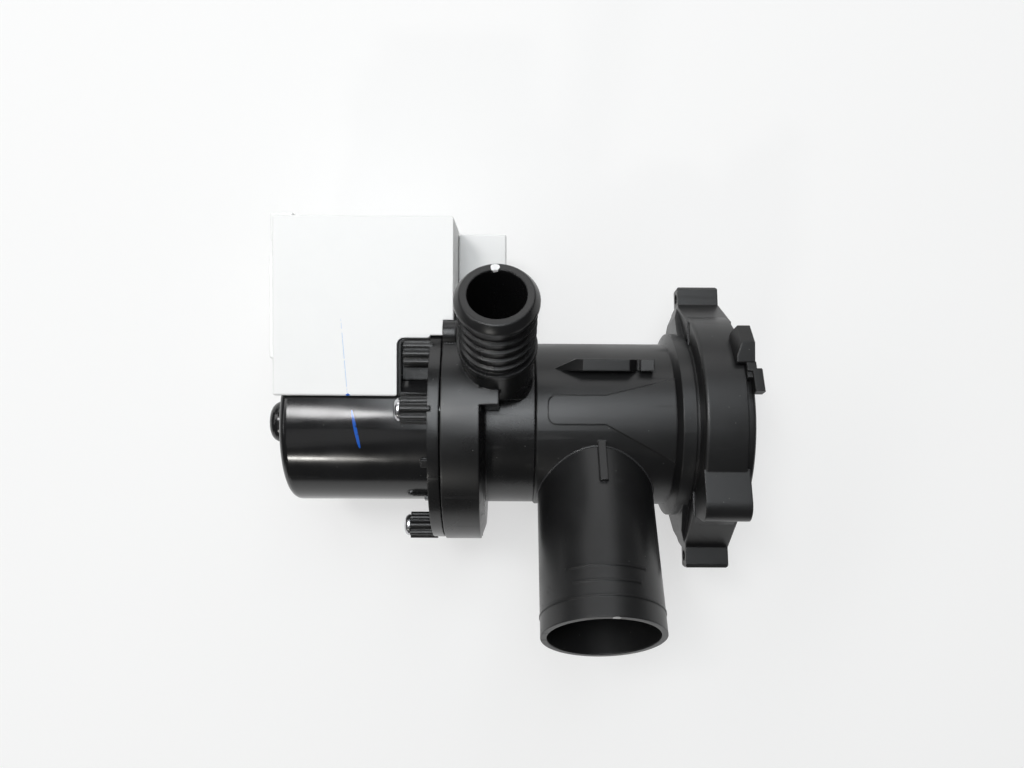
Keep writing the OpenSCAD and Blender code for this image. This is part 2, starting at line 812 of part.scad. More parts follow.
// Motor front flange with its screw bosses, wiring pocket and the register that centres the chamber.
module motor_flange() {
    locating_hole_r = 1.6;
    color(charcoal)
        difference() {
            union() {
                ring(x_motor_back, x_motor_front, 0, volute_r - fine_edge);
                ring(x_motor_front - cut, x_register, 0, register_r);
                for (a = screw_angles)
                    fluted_boss(a);
                fluted_boss(locating_angle);
                wiring_pocket();
            }
            ring(x_pocket - cut, x_motor_back, 0, casing_r + fit_gap);
            ring(x_motor_back - cut, x_motor_front + cut, 0, can_r + fit_gap);
            ring(x_motor_front - can_flange_t - fit_gap, x_register + cut, 0, can_flange_r + fit_gap);
            ring(x_motor_front, x_register + cut, 0, register_r - register_wall);
            ring(x_chamber_seal - seal_groove_w / 2, x_chamber_seal + seal_groove_w / 2,
                register_r - 2 * seal_wire_r, register_r + cut);
            for (a = screw_angles)
                axial_pin(x_boss_end - cut, x_motor_front + cut, screw_circle_r, a, screw_hole_r);
            axial_pin(x_boss_end - cut, x_motor_back, screw_circle_r, locating_angle, locating_hole_r);
        }
}

// Seal between the motor flange's register and the pump chamber.
module chamber_seal() {
    color(rubber_black)
        o_ring(x_chamber_seal, register_r - seal_wire_r, seal_wire_r - fit_gap / 2);
}

// Glossy motor casing with its domed rear bearing boss and a side window for the core's legs.
module motor_casing() {
    dome = 3.2;
    rim = 2.6;
    nub_angles = [-24, -66, -110, 150];
    nub_len = 3;
    nub_w = 2.6;
    nub_h = 0.9;
    color(gloss_black)
        difference() {
            union() {
                revolve(concat([[x_rear_boss, 0]],
                    corner(x_rear_boss, rear_boss_r, dome),
                    [[x_casing_back, rear_boss_r]],
                    corner(x_casing_back, casing_r, rim),
                    [[x_motor_back, casing_r], [x_motor_back, 0]]));
                for (a = nub_angles)
                    aim(a)
                        block([x_motor_back - nub_len, -nub_w / 2, casing_r - casing_wall / 2],
                            [x_motor_back, nub_w / 2, casing_r + nub_h]);
            }
            ring(x_casing_back + casing_wall, x_motor_back + cut, 0, casing_r - casing_wall);
            ring(x_tail - fit_gap, x_casing_back + casing_wall + cut, 0, boss_bore_r);
            block([x_core - core_t / 2 - window_slack, window_y, -window_z],
                [x_core + core_t / 2 + window_slack, casing_r + cut, window_z]);
        }
}

// One pan-head screw along the axis, with a cross recess in its head.
module flange_screw() {
    shank = x_screw_tip - x_boss_end;
    recess_w = 1;
    recess_len = 3.6;
    recess_depth = 1;
    difference() {
        rotate([0, -90, 0])
            rotate_extrude($fn = 48)
                polygon([[0, -shank], [screw_r, -shank], [screw_r, 0], [screw_head_r, 0],
                    [screw_head_r, 0.4 * screw_head_h], [screw_head_r - 0.5, 0.8 * screw_head_h],
                    [screw_head_r - 1.4, screw_head_h], [0, screw_head_h]]);
        for (turn = [0, 90])
            rotate([turn, 0, 0])
                block([-screw_head_h - cut, -recess_w / 2, -recess_len / 2],
                    [-screw_head_h + recess_depth, recess_w / 2, recess_len / 2]);
    }
}

// The four flange screws.
module flange_screws() {
    color(steel)
        for (a = screw_angles)
            aim(a)
                translate([x_boss_end, 0, screw_circle_r])
                    flange_screw();
}

// Outside of the coil cover with the lip and the corner tab on its back.
module cover_body() {
    lip_z = cover_h - 13;
    lip_t = 2;
    lip_ends = [8, 10];
    tab_y = [cover_y1 - 6, cover_y1 + 3];
    tab_z = [cover_h - 24, cover_h - 12];
    tab_in = 3;
    block([x_cover_back, cover_y0, -cover_h + base_t + fit_gap], [x_cover_front, cover_y1, cover_h]);
    block([x_cover_back - lip_out, cover_y0 + lip_ends[0], lip_z],
        [x_cover_back + cut, cover_y1 - lip_ends[1], lip_z + lip_t]);
    block([x_cover_back - lip_out, tab_y[0], tab_z[0]], [x_cover_back + tab_in, tab_y[1], tab_z[1]]);
}

// Space inside the coil cover: the coil bay and the terminal bay beside the motor flange.
module cover_bays() {
    y1 = cover_y1 - cover_wall;
    z1 = cover_h - cover_wall;
    block([x_cover_back + cover_wall, cover_y0 - cut, -cover_h - cut], [x_pocket - cover_wall, y1, z1]);
    block([x_pocket - 2 * cover_wall, y_clear + cover_wall, -cover_h - cut],
        [x_cover_front - cover_wall, y1, z1]);
}

// White cover over the coils, notched round the motor flange and open below.
module coil_cover() {
    color(white_plastic)
        difference() {
            cover_body();
            cover_bays();
            translate([0, 0, -cover_h - cut])
                linear_extrude(2 * cover_h + 2 * cut)
                    pocket_outline(0, cover_y0 - cut, x_cover_front + cut);
            block([x_pocket, cover_y0 - cut, -cover_h - cut],
                [x_cover_front + cut, y_clear, cover_h - overhang_t]);
            ring(x_motor_back - fit_gap, x_cover_front + cut, 0, volute_r + 2 * fit_gap);
            axial_pin(x_volute_back - fit_gap, x_cover_front + cut, ear_circle_r, ear_angle, ear_r + fit_gap);
            ring(x_rear_boss, x_motor_back, 0, casing_r + fit_gap);
            blade_pair(fit_gap);
        }
}

// Plate that closes the coil cover from below.
module coil_base() {
    color(white_plastic)
        difference() {
            block([x_cover_back, cover_y0, -cover_h], [x_cover_front, cover_y1, -cover_h + base_t]);
            block([x_pocket, cover_y0 - cut, -cover_h - cut], [x_cover_front + cut, y_clear, cover_h]);
            ring(x_rear_boss, x_motor_back, 0, casing_r + fit_gap);
        }
}

// Open socket for the wiring plug, on the front of the coil cover.
module connector_housing() {
    y1 = plug_y0 + plug_w;
    z0 = plug_top - plug_h;
    color(white_plastic)
        difference() {
            block([x_cover_front + fit_gap, plug_y0, z0], [x_plug_front, y1, plug_top]);
            block([x_cover_front + plug_floor, plug_y0 + plug_wall, z0 + plug_wall],
                [x_plug_front + cut, y1 - plug_wall, plug_top - plug_wall]);
            blade_pair(fit_gap);
        }
}

// The two flat terminals, grown on all sides by a gap where they pass through a wall.
module blade_pair(gap = 0) {
    spread = plug_w / 5;
    for (side = [-1, 1])
        translate([0, plug_y0 + plug_w / 2 + side * spread, plug_top - plug_h / 2])
            block([x_cover_front - cover_wall - blade_in - gap, -blade_t / 2 - gap, -blade_h / 2 - gap],
                [x_plug_front - blade_short + gap, blade_t / 2 + gap, blade_h / 2 + gap]);
}

// Terminals of the wiring socket.
module terminal_blades() {
    color(steel)
        blade_pair();
}

// Laminated stator core: two curved poles, two legs and a yoke.
module stator_core() {
    color(lamination)
        along_axis(x_core - core_t / 2, x_core + core_t / 2)
            difference() {
                union() {
                    difference() {
                        circle(r = pole_r);
                        translate([-pole_r - cut, -pole_gap])
                            square([2 * pole_r + 2 * cut, 2 * pole_gap]);
                    }
                    for (side = [-1, 1])
                        translate([0, side * leg_z - leg_h / 2])
                            square([core_y1, leg_h]);
                    translate([core_y1 - yoke_t, -leg_z - leg_h / 2])
                        square([yoke_t, 2 * leg_z + leg_h]);
                }
                circle(r = can_r + 2 * fit_gap);
            }
}

// A rectangular sleeve round one leg, from y0 to y1, that starts a gap off the leg.
module leg_sleeve(z, y0, y1, gap, wall) {
    in_x = core_t / 2 + gap;
    in_z = leg_h / 2 + gap;
    translate([x_core, 0, z])
        difference() {
            block([-in_x - wall, y0, -in_z - wall], [in_x + wall, y1, in_z + wall]);
            block([-in_x, y0 - cut, -in_z], [in_x, y1 + cut, in_z]);
        }
}

// A bobbin round one leg, with a flange at each end.
module bobbin(z) {
    color(natural_plastic) {
        leg_sleeve(z, bobbin_y0, bobbin_y1, fit_gap, bobbin_wall);
        for (y = [bobbin_y0, bobbin_y1 - bobbin_flange_t])
            leg_sleeve(z, y, y + bobbin_flange_t, fit_gap, bobbin_wall + winding_t);
    }
}

// The winding on one bobbin, as one solid.
module winding(z) {
    end_gap = bobbin_flange_t + fit_gap;
    color(copper)
        leg_sleeve(z, bobbin_y0 + end_gap, bobbin_y1 - end_gap, bobbin_wall + 2 * fit_gap,
            winding_t - winding_slack);
}

module upper_bobbin() {
    bobbin(leg_z);
}

module lower_bobbin() {
    bobbin(-leg_z);
}

module upper_winding() {
    winding(leg_z);
}

module lower_winding() {
    winding(-leg_z);
}

// Thin cup that keeps the water in the rotor's space, with the rear bearing's seat on its end.
module rotor_can() {
    color(natural_plastic)
        revolve([[x_tail, 0], [x_tail, tail_r], [x_can_back, tail_r], [x_can_back, can_r],
            [x_motor_front - can_flange_t, can_r], [x_motor_front - can_flange_t, can_flange_r],
            [x_motor_front, can_flange_r], [x_motor_front, can_in_r], [x_can_back + can_end_t, can_in_r],
            [x_can_back + can_end_t, bearing_seat_r], [x_tail + tail_end_t, bearing_seat_r],
            [x_tail + tail_end_t, 0]]);
}

// Bush that carries the shaft's back end.
module rear_bearing() {
    color(carbon_bush)
        ring(x_rear_bearing, x_rear_bearing + bearing_len, shaft_r + run_gap, bearing_r);
}

// Plate in the can's mouth that carries the front bearing and the shaft seal.
module bearing_plate() {
    collar_out_r = seal_r + plate_collar_wall;
    color(natural_plastic)
        revolve([[x_plate_back, bearing_seat_r], [x_plate_back, plate_r], [x_plate_front, plate_r],
            [x_plate_front, collar_out_r], [x_seal_front, collar_out_r], [x_seal_front, seal_seat_r],
            [x_plate_front, seal_seat_r], [x_plate_front, bearing_seat_r]]);
}

// Bush that carries the shaft's front end.
module front_bearing() {
    color(carbon_bush)
        ring(x_plate_back, x_plate_front - fit_gap, shaft_r + run_gap, bearing_r);
}

// Lip seal in front of the front bearing.
module shaft_seal() {
    lip_back = 1.2;
    lip_front = 0.4;
    color(rubber_black)
        revolve([[x_plate_front, shaft_r + 1], [x_plate_front, seal_r], [x_seal_front - lip_front, seal_r],
            [x_seal_front - lip_front, shaft_r + run_gap], [x_seal_front - lip_back, shaft_r + run_gap]]);
}

// Black clip with two hooked tabs that stands on the flange ring beside the mouth.
module cap_clip() {
    near_angle = 27;
    far_angle = 47;
    seat = flange_r + fit_gap;
    clear = cap_rim_r + 1.5;
    front = x_flange_front + fit_gap;
    back = front - 2.8;
    tab_half = 3.1;
    tab_near = 8.5;
    tab_x = [front - 1.3, front + 2.5];
    tab_top = seat + 4.9;
    tab_step = seat + 2;
    strap_front = front + 1.6;
    strap_top = seat + 0.6;
    arm_y = [1.8, 4.8];
    arm_front = front + 2.9;
    hook_y = [-4.6, 2.6];
    hook_front = front + 4.3;
    hook_top = seat + 1.4;
    color(deep_black) {
        aim(far_angle)
            intersection() {
                across(-tab_near, tab_half)
                    polygon([[back, seat], [back, tab_step], [tab_x[0], tab_top], [tab_x[1], tab_top],
                        [tab_x[1], clear], [front, clear], [front, seat]]);
                along_axis(back - cut, tab_x[1] + cut)
                    polygon([[-tab_near - cut, clear - cut], [-tab_near - cut, seat],
                        [-tab_half, tab_top + cut], [tab_half + cut, tab_top + cut],
                        [tab_half + cut, clear - cut]]);
            }
        sector(front, strap_front, clear, strap_top, near_angle, far_angle);
        aim(near_angle) {
            across(arm_y[0], arm_y[1])
                polygon([[front, clear], [front, hook_top], [arm_front, hook_top], [arm_front, clear]]);
            across(hook_y[0], hook_y[1])
                polygon([[strap_front, clear], [strap_front, hook_top], [hook_front, hook_top],
                    [hook_front + fine_edge, hook_top - edge], [hook_front, clear]]);
        }
    }
}

// Steel shaft from the rear bearing to the impeller's nose.
module rotor_shaft() {
    color(steel)
        ring(x_shaft_back, x_shaft_front, 0, shaft_r);
}

// Plastic sleeve that holds the magnet on the shaft between two collars.
module magnet_carrier() {
    x0 = x_magnet_back - carrier_collar_t;
    x1 = x_magnet_front + carrier_collar_t;
    sleeve_r = magnet_bore_r - fit_gap;
    collar_r = magnet_bore_r + carrier_collar_h;
    color(natural_plastic)
        revolve([[x0, shaft_r + sleeve_gap], [x0, collar_r], [x_magnet_back - fit_gap, collar_r],
            [x_magnet_back - fit_gap, sleeve_r], [x_magnet_front + fit_gap, sleeve_r],
            [x_magnet_front + fit_gap, collar_r], [x1, collar_r], [x1, shaft_r + sleeve_gap]]);
}

// Ring magnet of the rotor.
module rotor_magnet() {
    color(lamination)
        ring(x_magnet_back, x_magnet_front, magnet_bore_r, magnet_r);
}

// Driver on the shaft that picks the impeller up after its free play.
module drive_dog() {
    color(natural_plastic) {
        ring(x_dog_back, x_dog_front, shaft_r + sleeve_gap, dog_sleeve_r);
        sector(x_dog_back, x_dog_front, dog_sleeve_r - 0.2, hub_cavity_r - move_gap,
            180 - dog_span / 2, 180 + dog_span / 2);
    }
}

// Open impeller: hub with its stop, back disc and straight vanes.
module impeller() {
    color(natural_plastic)
        difference() {
            union() {
                ring(x_hub_back + hub_cap_t, x_hub_front, hub_cavity_r, hub_r);
                ring(x_cavity_front, x_hub_front, 0, hub_r - hub_wall / 2);
                sector(x_dog_back, x_cavity_front + nose_t / 2, dog_sleeve_r + move_gap,
                    hub_cavity_r + hub_wall / 2, -dog_span / 2, dog_span / 2);
                ring(x_shroud_front - shroud_t, x_shroud_front, hub_r - hub_wall / 2, impeller_r);
                for (i = [0:vane_count - 1])
                    aim(360 * i / vane_count)
                        block([x_shroud_front - shroud_t / 2, -vane_t / 2, hub_r - hub_wall / 2],
                            [x_vane_front, vane_t / 2, impeller_r - fine_edge]);
            }
            ring(x_cavity_front - cut, x_shaft_front + move_gap, 0, shaft_r + run_gap);
        }
}

// Cap that closes the back of the impeller's hub round the driver's sleeve.
module impeller_hub_cap() {
    color(natural_plastic)
        ring(x_hub_back, x_hub_back + hub_cap_t, dog_sleeve_r + move_gap, hub_r - hub_wall / 2 - fit_gap);
}

// Flat grid across the back of the lint basket.
module basket_grid() {
    intersection() {
        ring(x_basket_back, x_basket_back + basket_bar, 0, basket_r - basket_rim / 2);
        for (i = [-3:3])
            block([x_basket_back, i * grid_pitch - basket_bar / 2, -basket_r],
                [x_basket_back + basket_bar, i * grid_pitch + basket_bar / 2, basket_r]);
    }
}

// Bars round the lint basket, left out of the window towards the inlet.
module basket_sides() {
    step = 360 / basket_bars;
    bar_r = basket_r - 0.2;
    for (i = [0:basket_bars - 1]) {
        off_inlet = (i + 0.5) * step;
        if (min(off_inlet, 360 - off_inlet) > basket_window / 2)
            aim(inlet_angle + off_inlet)
                block([x_basket_back + cut, -basket_bar / 2, bar_r - basket_bar],
                    [x_basket_front - cut, basket_bar / 2, bar_r]);
    }
}

// Lint basket: a front plate on the cap's stub, bars, a back grid and an open side towards the inlet.
module filter_basket() {
    color(charcoal)
        difference() {
            union() {
                ring(x_plate, x_basket_front, stub_r + run_gap, basket_r);
                ring(x_basket_back, x_basket_back + basket_rim, basket_r - basket_rim, basket_r);
                basket_grid();
                basket_sides();
            }
            aim(key_angle)
                block([x_basket_back - cut, -key_w / 2 - move_gap, bore_r - key_h - move_gap],
                    [x_basket_front + cut, key_w / 2 + move_gap, bore_r]);
        }
}

// Filter cap: plug with a seal groove, three bayonet lugs, a rim and a grip bar across its recess.
module filter_cap() {
    rim_edge = 0.6;
    ring_half = ring_wire_r + fit_gap;
    color(deep_black) {
        difference() {
            revolve([[x_cap_back, 0], [x_cap_back, plug_r - rim_edge], [x_cap_back + rim_edge, plug_r],
                [x_rim_back, plug_r], [x_rim_back, cap_rim_r], [x_rim_front - rim_edge, cap_rim_r],
                [x_rim_front, cap_rim_r - rim_edge], [x_rim_front, 0]]);
            ring(x_cap_floor, x_rim_front + cut, 0, cap_recess_r);
            ring(x_ring - ring_half, x_ring + ring_half, ring_mid_r - ring_wire_r, plug_r + cut);
        }
        block([x_cap_floor - cut, -grip_t / 2, -cap_recess_r - cut],
            [x_rim_front - rim_edge, grip_t / 2, cap_recess_r + cut]);
        for (i = [0:bayonet_count - 1]) {
            from = lug_start + bayonet_pitch * i;
            sector(x_lug - bayonet_t, x_lug, plug_r - cut, lug_ring_r, from, from + bayonet_span);
        }
        ring(x_snap, x_cap_back + cut, 0, stub_r);
        ring(x_snap - snap_t, x_snap, 0, snap_r);
    }
}

// Seal on the filter cap's plug.
module cap_seal() {
    color(rubber_black)
        o_ring(x_ring, ring_mid_r, ring_wire_r);
}

filter_housing();
volute_housing();
neck_seal();
motor_flange();
motor_casing();
chamber_seal();
flange_screws();
coil_cover();
coil_base();
connector_housing();
terminal_blades();
stator_core();
upper_bobbin();
lower_bobbin();
upper_winding();
lower_winding();
rotor_can();
rear_bearing();
bearing_plate();
front_bearing();
shaft_seal();
cap_clip();
rotor_shaft();
magnet_carrier();
rotor_magnet();
drive_dog();
impeller();
impeller_hub_cap();
filter_basket();
filter_cap();
cap_seal();
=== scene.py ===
"""Washer drain pump: finished surfaces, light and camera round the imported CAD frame."""

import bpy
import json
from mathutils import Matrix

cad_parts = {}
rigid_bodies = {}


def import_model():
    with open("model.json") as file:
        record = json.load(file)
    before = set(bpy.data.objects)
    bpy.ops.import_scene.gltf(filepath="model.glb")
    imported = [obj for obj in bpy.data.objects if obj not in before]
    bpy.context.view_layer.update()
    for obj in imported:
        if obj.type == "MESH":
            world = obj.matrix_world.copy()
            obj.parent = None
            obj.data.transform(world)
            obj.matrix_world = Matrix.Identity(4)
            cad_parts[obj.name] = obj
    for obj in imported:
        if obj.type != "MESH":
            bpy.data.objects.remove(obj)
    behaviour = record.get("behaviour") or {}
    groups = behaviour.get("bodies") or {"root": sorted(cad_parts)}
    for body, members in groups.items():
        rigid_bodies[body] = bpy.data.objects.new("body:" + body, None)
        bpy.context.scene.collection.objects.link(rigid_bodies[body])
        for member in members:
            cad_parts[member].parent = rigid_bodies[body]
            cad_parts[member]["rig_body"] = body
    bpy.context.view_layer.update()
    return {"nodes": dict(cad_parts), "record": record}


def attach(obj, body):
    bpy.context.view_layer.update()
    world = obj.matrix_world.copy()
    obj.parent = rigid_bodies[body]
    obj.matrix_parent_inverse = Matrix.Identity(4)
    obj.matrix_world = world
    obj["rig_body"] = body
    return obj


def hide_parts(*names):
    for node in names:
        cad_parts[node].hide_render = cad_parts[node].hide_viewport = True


bl_info = {
    "name": "Washer drain pump",
    "version": (1, 0, 0),
    "blender": (4, 5, 0),
    "location": "View3D > Sidebar > Drain pump",
    "description": "Finishes the mouldings, screws and motor of a washer drain pump",
    "category": "Object",
}

import json
from collections import namedtuple
from math import cos, pi, radians, sin, sqrt

import bmesh
import bpy
from bpy.props import FloatProperty, FloatVectorProperty, IntProperty, PointerProperty
from mathutils import Vector

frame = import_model()

MM = 0.001

# Mesh work: weld distance, limits of edge angles, and the room that a rounded corner needs beside it
WELD = 0.05 * MM
FLAT = radians(0.4)
SHARP = radians(28)
CREASE = radians(40)
STRAIGHT_ON = 0.8
CORNER_ROOM = 1.6
EDGE = "edge"
BEAD_STEPS = 96

# Finish: depth of grain and tool marks, dulling by scuffs, and how far some parts differ from the housing
GRAIN_DEPTH = 0.05 * MM
TOOL_MARK_DEPTH = 0.02 * MM
SCUFF_DULLING = 0.12
DUST_GREY = (0.45, 0.45, 0.43, 1.0)
CHAMBER_SHINE = 0.07
FLANGE_SHINE = 0.14
SEAM_SHINE = 0.12
# The seam bead is the housing black made this many times lighter: a painted highlight along the inlet's seam
SEAM_HIGHLIGHT_LIGHTNESS = 4
CAP_ROUND_SHARE = 0.6

# Marks: place and size of each, and its colour: paint, ink, and the pale grey of a spot on the inlet's lip
OUTLET_DAB = {"X": -73.9 * MM, "Y": 45.5 * MM, "Z": 50.9 * MM, "Radius": 1.55 * MM}
# A pale grey spot on the inlet's lip
INLET_LIP_SPOT = {"X": -41.3 * MM, "Y": -46.5 * MM, "Z": 55.8 * MM, "Radius": 1.4 * MM}
INK_BLOT = {"X": -118.0 * MM, "Y": 9.9 * MM, "Z": 25.0 * MM, "Radius": 1.05 * MM}
COVER_STROKE = {
    "X": -117.2 * MM, "Lean": -0.086, "Y from": 33.0 * MM, "Y to": 9.6 * MM,
    "Width": 0.12 * MM, "Press": 0.56,
}
CASING_STROKE = {
    "X": -115.73 * MM, "Lean": -0.21, "Y from": 5.7 * MM, "Y to": -5.8 * MM,
    "Width": 0.5 * MM, "Press": 0.68,
}
STROKE_SWELL = ((0.12, 0.6), (0.6, 1.0))
DAB_RAGGEDNESS = 0.0006
WHITE_PAINT = (0.8, 0.8, 0.8)
PALE_GREY_SPOT = (0.5, 0.5, 0.5)
PALE_INK = (0.5, 0.63, 0.83)
BLOT_INK = (0.03, 0.15, 0.6)
DEEP_INK = (0.008, 0.09, 0.45)

# Parts inside the motor and the impeller
Inside = namedtuple("Inside", "material colour roughness nodes")
INSIDE_METALS = (
    Inside("core_laminations", (0.35, 0.35, 0.37), 0.45, ("stator_core",)),
    Inside("enamelled_copper", (0.72, 0.3, 0.14), 0.35, ("upper_winding", "lower_winding")),
    Inside("ground_shaft", (0.62, 0.62, 0.63), 0.2, ("rotor_shaft",)),
)
INSIDE_PLASTICS = (
    Inside("bobbin_plastic", (0.6, 0.57, 0.48), 0.45, ("upper_bobbin", "lower_bobbin")),
    Inside("can_plastic", (0.05, 0.05, 0.05), 0.4, ("rotor_can", "bearing_plate")),
    Inside("bearing_carbon", (0.03, 0.03, 0.03), 0.5, ("rear_bearing", "front_bearing")),
    Inside("magnet_ferrite", (0.045, 0.043, 0.042), 0.55, ("rotor_magnet",)),
    Inside("impeller_plastic", (0.5, 0.5, 0.48), 0.4,
           ("magnet_carrier", "drive_dog", "impeller", "impeller_hub_cap")),
)

# Lamps: place and size in metres, radiance and tint
Lamp = namedtuple("Lamp", "name at size level tint")
NEUTRAL = (1.0, 1.0, 1.0)
SKY = (0.93, 0.97, 1.0)
WARM = (1.0, 0.98, 0.93)
LAMPS = (
    Lamp("window_panel", (-0.38, 0.33, 1.0), (0.17, 0.28), 23.0, NEUTRAL),
    Lamp("sky_left_panel", (-0.12, 0.34, 1.0), (0.26, 0.85), 4.6, SKY),
    Lamp("sky_right_panel", (0.12, 0.6, 1.0), (0.22, 0.72), 4.1, SKY),
    Lamp("left_panel", (-0.95, 0.35, 0.85), (1.3, 0.3), 2.9, NEUTRAL),
    Lamp("back_panel", (-0.1, 1.3, 0.45), (1.4, 0.6), 1.6, NEUTRAL),
    Lamp("side_strip", (-0.51, -1.17, 1.0), (0.2, 0.06), 68.0, WARM),
    Lamp("side_panel", (-0.4, -0.35, 1.0), (0.3, 0.55), 0.45, NEUTRAL),
)
LAMP_AIM = Vector((-0.07, 0.0, 0.0))


class PumpFinish(bpy.types.PropertyGroup):
    """Corner radii and finishes of the pump's surfaces."""

    moulded_round: FloatProperty(
        name="Moulded corner", description="Corner radius of the black mouldings",
        default=0.35 * MM, unit="LENGTH")
    moulded_blend: FloatProperty(
        name="Moulded blend", description="Reach over which shading rounds inner corners",
        default=0.6 * MM, unit="LENGTH")
    cover_round: FloatProperty(
        name="Cover corner", description="Corner radius of the white coil block",
        default=0.7 * MM, unit="LENGTH")
    metal_round: FloatProperty(
        name="Metal corner", description="Corner radius of screws and terminals",
        default=0.12 * MM, unit="LENGTH")
    tube_radius: FloatProperty(
        name="Tube radius", description="Radius of the filter tube that the inlet runs into",
        default=26.2 * MM, unit="LENGTH")
    bead_radius: FloatProperty(
        name="Seam bead", description="Radius of the moulded bead round the inlet's root",
        default=0.35 * MM, unit="LENGTH")
    round_steps: IntProperty(
        name="Corner steps", description="Faces across a rounded corner", default=2, min=1, max=6)
    housing_black: FloatVectorProperty(
        name="Housing black", description="Satin plastic of tube, flange and pump chamber",
        default=(0.008, 0.008, 0.0083), subtype="COLOR", min=0, max=1)
    casing_black: FloatVectorProperty(
        name="Casing black", description="Glossy plastic of the motor casing",
        default=(0.009, 0.009, 0.0095), subtype="COLOR", min=0, max=1)
    cap_black: FloatVectorProperty(
        name="Cap black", description="Plastic of the filter cap, basket and clip",
        default=(0.006, 0.006, 0.0062), subtype="COLOR", min=0, max=1)
    cover_white: FloatVectorProperty(
        name="Cover white", description="Plastic of the coil block",
        default=(0.88, 0.88, 0.87), subtype="COLOR", min=0, max=1)
    housing_gloss: FloatProperty(
        name="Housing roughness", description="Roughness of the satin mouldings",
        default=0.36, subtype="FACTOR")
    casing_gloss: FloatProperty(
        name="Casing roughness", description="Roughness of the motor casing", default=0.16, subtype="FACTOR")


class PumpStage(bpy.types.PropertyGroup):
    """Floor, light and camera."""

    floor_height: FloatProperty(
        name="Floor height", description="Height of the floor, under the pump chamber",
        default=-37.5 * MM, unit="LENGTH")
    floor_reach: FloatProperty(
        name="Floor reach", description="Distance from the middle of the floor to its sides",
        default=3.0, unit="LENGTH")
    floor_white: FloatVectorProperty(
        name="Floor white", description="Colour of the floor",
        default=(0.9, 0.9, 0.89), subtype="COLOR", min=0, max=1)
    floor_glow: FloatProperty(
        name="Floor glow", description="Share of plain white in the floor, as camera and reflections see it",
        default=0.55, subtype="FACTOR")
    world_level: FloatProperty(
        name="Surroundings", description="Level of the light from all round", default=0.08)
    backdrop_level: FloatProperty(
        name="Backdrop", description="Level of the surroundings as the camera sees them", default=0.9)
    lens: FloatProperty(name="Lens", description="Focal length of the camera", default=28.125, unit="CAMERA")
    camera_at: FloatVectorProperty(
        name="Camera place", description="Where the camera stands",
        default=(-0.0706938, 0.0222709, 0.2633241), subtype="TRANSLATION", unit="LENGTH")
    camera_turn: FloatVectorProperty(
        name="Camera turn", description="How the camera is turned from looking straight down",
        default=(radians(-2.0494), radians(-0.3817), radians(0.3672)), subtype="EULER", unit="ROTATION")


def node_maker(tree):
    """A short way to place a node, set its values and link its inputs."""
    def place(kind, values=(), links=(), **settings):
        node = tree.nodes.new(kind)
        for key, value in settings.items():
            setattr(node, key, value)
        for key, value in dict(values).items():
            node.inputs[key].default_value = value
        for key, socket in dict(links).items():
            tree.links.new(socket, node.inputs[key])
        return node
    return place


def calculator(tree):
    """A short way to place a math node. Its terms are sockets or numbers."""
    def calc(operation, *terms):
        node = tree.nodes.new("ShaderNodeMath")
        node.operation = operation
        for slot, term in zip(node.inputs, terms):
            if isinstance(term, bpy.types.NodeSocket):
                tree.links.new(term, slot)
            else:
                slot.default_value = term
        return node.outputs[0]
    return calc


def group_tree(name, inputs, outputs):
    """An empty node group with float inputs and outputs, and its two end nodes."""
    tree = bpy.data.node_groups.new(name, "ShaderNodeTree")
    for label, value in inputs:
        socket = tree.interface.new_socket(label, in_out="INPUT", socket_type="NodeSocketFloat")
        socket.default_value = value
    for label in outputs:
        tree.interface.new_socket(label, in_out="OUTPUT", socket_type="NodeSocketFloat")
    start = tree.nodes.new("NodeGroupInput")
    end = tree.nodes.new("NodeGroupOutput")
    return tree, start, end


def grain_group():
    """Fine moulded grain for bump, with slow mottling for colour and gloss."""
    name = "moulded_grain"
    if name in bpy.data.node_groups:
        return bpy.data.node_groups[name]
    tree, start, end = group_tree(name, (("Grain", 1800.0), ("Mottle", 60.0)), ("Height", "Mottle"))
    place = node_maker(tree)
    place_at = place("ShaderNodeTexCoord").outputs["Object"]
    fine = place("ShaderNodeTexNoise", {"Detail": 3.0, "Roughness": 0.6},
                 {"Vector": place_at, "Scale": start.outputs["Grain"]})
    slow = place("ShaderNodeTexNoise", {"Detail": 4.0, "Roughness": 0.55},
                 {"Vector": place_at, "Scale": start.outputs["Mottle"]})
    spread = place("ShaderNodeMapRange", {"From Min": 0.3, "From Max": 0.7}, {"Value": slow.outputs["Fac"]})
    tree.links.new(fine.outputs["Fac"], end.inputs["Height"])
    tree.links.new(spread.outputs["Result"], end.inputs["Mottle"])
    return tree


def dust_group():
    """Sparse pale specks and short scuffs."""
    name = "dust_and_scuffs"
    if name in bpy.data.node_groups:
        return bpy.data.node_groups[name]
    tree, start, end = group_tree(
        name, (("Spread", 600.0), ("Speck", 0.08), ("Rarity", 0.9)), ("Dust", "Scuff"))
    place = node_maker(tree)
    calc = calculator(tree)
    place_at = place("ShaderNodeTexCoord").outputs["Object"]
    cells = place("ShaderNodeTexVoronoi", {"Randomness": 1.0},
                  {"Vector": place_at, "Scale": start.outputs["Spread"]})
    near = calc("LESS_THAN", cells.outputs["Distance"], start.outputs["Speck"])
    pick = place("ShaderNodeSeparateColor", links={"Color": cells.outputs["Color"]})
    few = calc("GREATER_THAN", pick.outputs["Red"], start.outputs["Rarity"])
    stretch = place("ShaderNodeMapping", {"Scale": (40.0, 420.0, 160.0), "Rotation": (0.3, 0.2, 0.5)},
                    {"Vector": place_at})
    lines = place("ShaderNodeTexNoise", {"Scale": 1.0, "Detail": 2.0}, {"Vector": stretch.outputs["Vector"]})
    scuff = place("ShaderNodeMapRange", {"From Min": 0.66, "From Max": 0.74}, {"Value": lines.outputs["Fac"]})
    tree.links.new(calc("MULTIPLY", near, few), end.inputs["Dust"])
    tree.links.new(scuff.outputs["Result"], end.inputs["Scuff"])
    return tree


